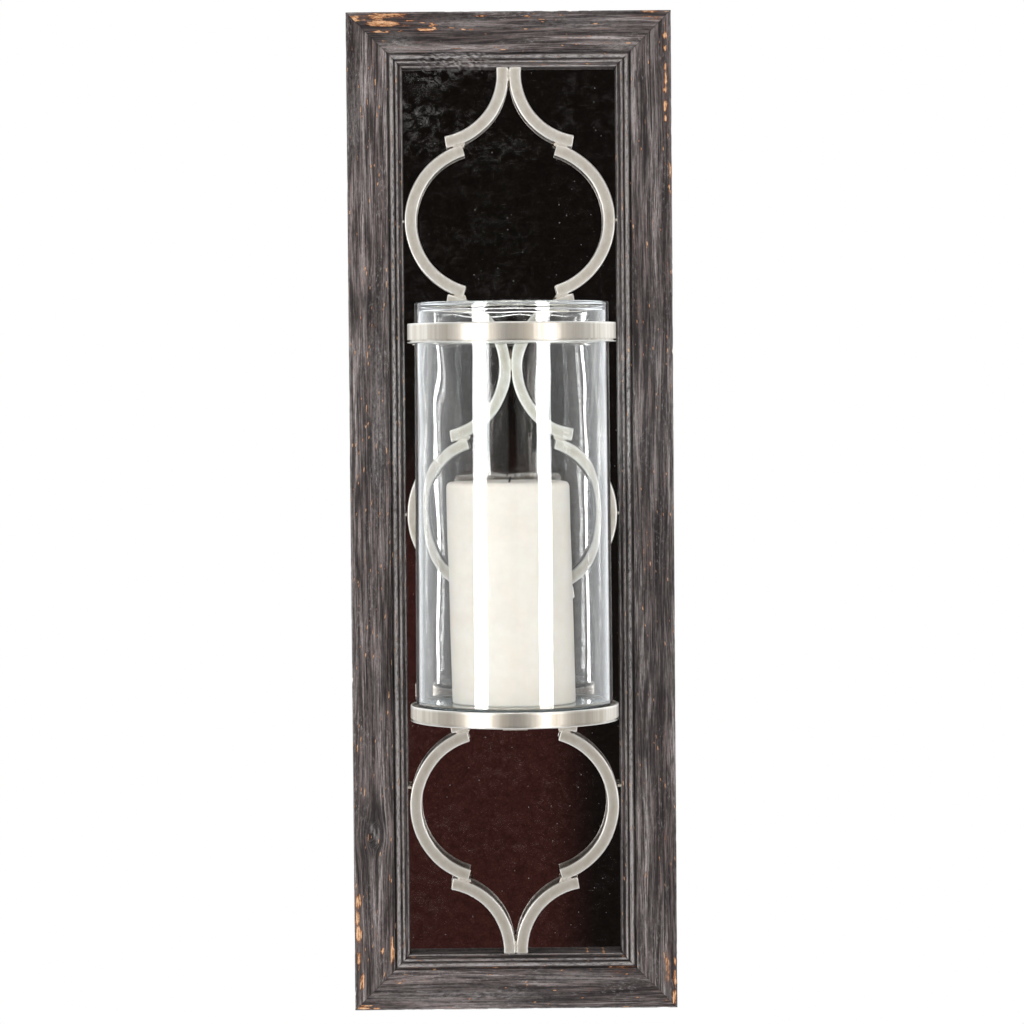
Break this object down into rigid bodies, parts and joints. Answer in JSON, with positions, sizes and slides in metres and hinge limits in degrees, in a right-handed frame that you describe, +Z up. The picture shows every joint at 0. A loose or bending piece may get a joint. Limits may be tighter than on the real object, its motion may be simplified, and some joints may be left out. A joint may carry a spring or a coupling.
{
  "type": "wall sconce candle holder",
  "caption": "Mirrored wooden wall frame with a scroll of bent flat bars, and a hoop and tray that hold a lift-out glass hurricane with a pillar candle.",
  "frame": {"origin": "centre of the flat back of the frame, on the wall", "axes": "+Z up; +Y out of the back, into the wall; the mirror and the candle face -Y; +X to the viewer's right"},
  "size_m": [0.206, 0.1495, 0.635],
  "materials": {
    "weathered_wood": "dry-brushed, distressed",
    "antiqued_mirror": "antiqued mirror",
    "backing_board": "bare fibreboard",
    "zinc_steel": "zinc plated",
    "satin_metal": "satin champagne nickel",
    "clear_glass": "clear, polished",
    "candle_wax": "ivory wax",
    "wick_cotton": "waxed cotton"
  },
  "bodies": {
    "root": {"frame_left_stile": "weathered_wood", "frame_right_stile": "weathered_wood", "frame_top_rail": "weathered_wood", "frame_bottom_rail": "weathered_wood", "mirror_panel": "antiqued_mirror", "backing_board": "backing_board", "corner_nails": "zinc_steel", "retainer_brads": "zinc_steel", "left_hanger_plate": "zinc_steel", "right_hanger_plate": "zinc_steel", "hanger_screws": "zinc_steel", "scroll_left_top_bulb": "satin_metal", "scroll_left_middle_bulb": "satin_metal", "scroll_left_bottom_bulb": "satin_metal", "scroll_left_top_half_arch": "satin_metal", "scroll_left_upper_arch": "satin_metal", "scroll_left_lower_arch": "satin_metal", "scroll_left_bottom_half_arch": "satin_metal", "scroll_right_top_bulb": "satin_metal", "scroll_right_middle_bulb": "satin_metal", "scroll_right_bottom_bulb": "satin_metal", "scroll_right_top_half_arch": "satin_metal", "scroll_right_upper_arch": "satin_metal", "scroll_right_lower_arch": "satin_metal", "scroll_right_bottom_half_arch": "satin_metal", "scroll_lap_welds": "satin_metal", "scroll_centre_welds": "satin_metal", "scroll_pins": "satin_metal", "upper_ring": "satin_metal", "ring_welds": "satin_metal", "tray_rim": "satin_metal", "tray_welds": "satin_metal", "tray_floor": "satin_metal", "tray_bracket": "satin_metal"},
    "glass": {"hurricane_glass": "clear_glass"},
    "candle": {"pillar_candle": "candle_wax", "candle_wick": "wick_cotton"}
  },
  "joints": [
    {"name": "glass_lift", "type": "slide", "parent": "root", "child": "glass", "axis": [0, 0, 1], "range_m": [0, 0.245]},
    {"name": "candle_lift", "type": "slide", "parent": "glass", "child": "candle", "axis": [0, 0, 1], "range_m": [0, 0.255]}
  ]
}
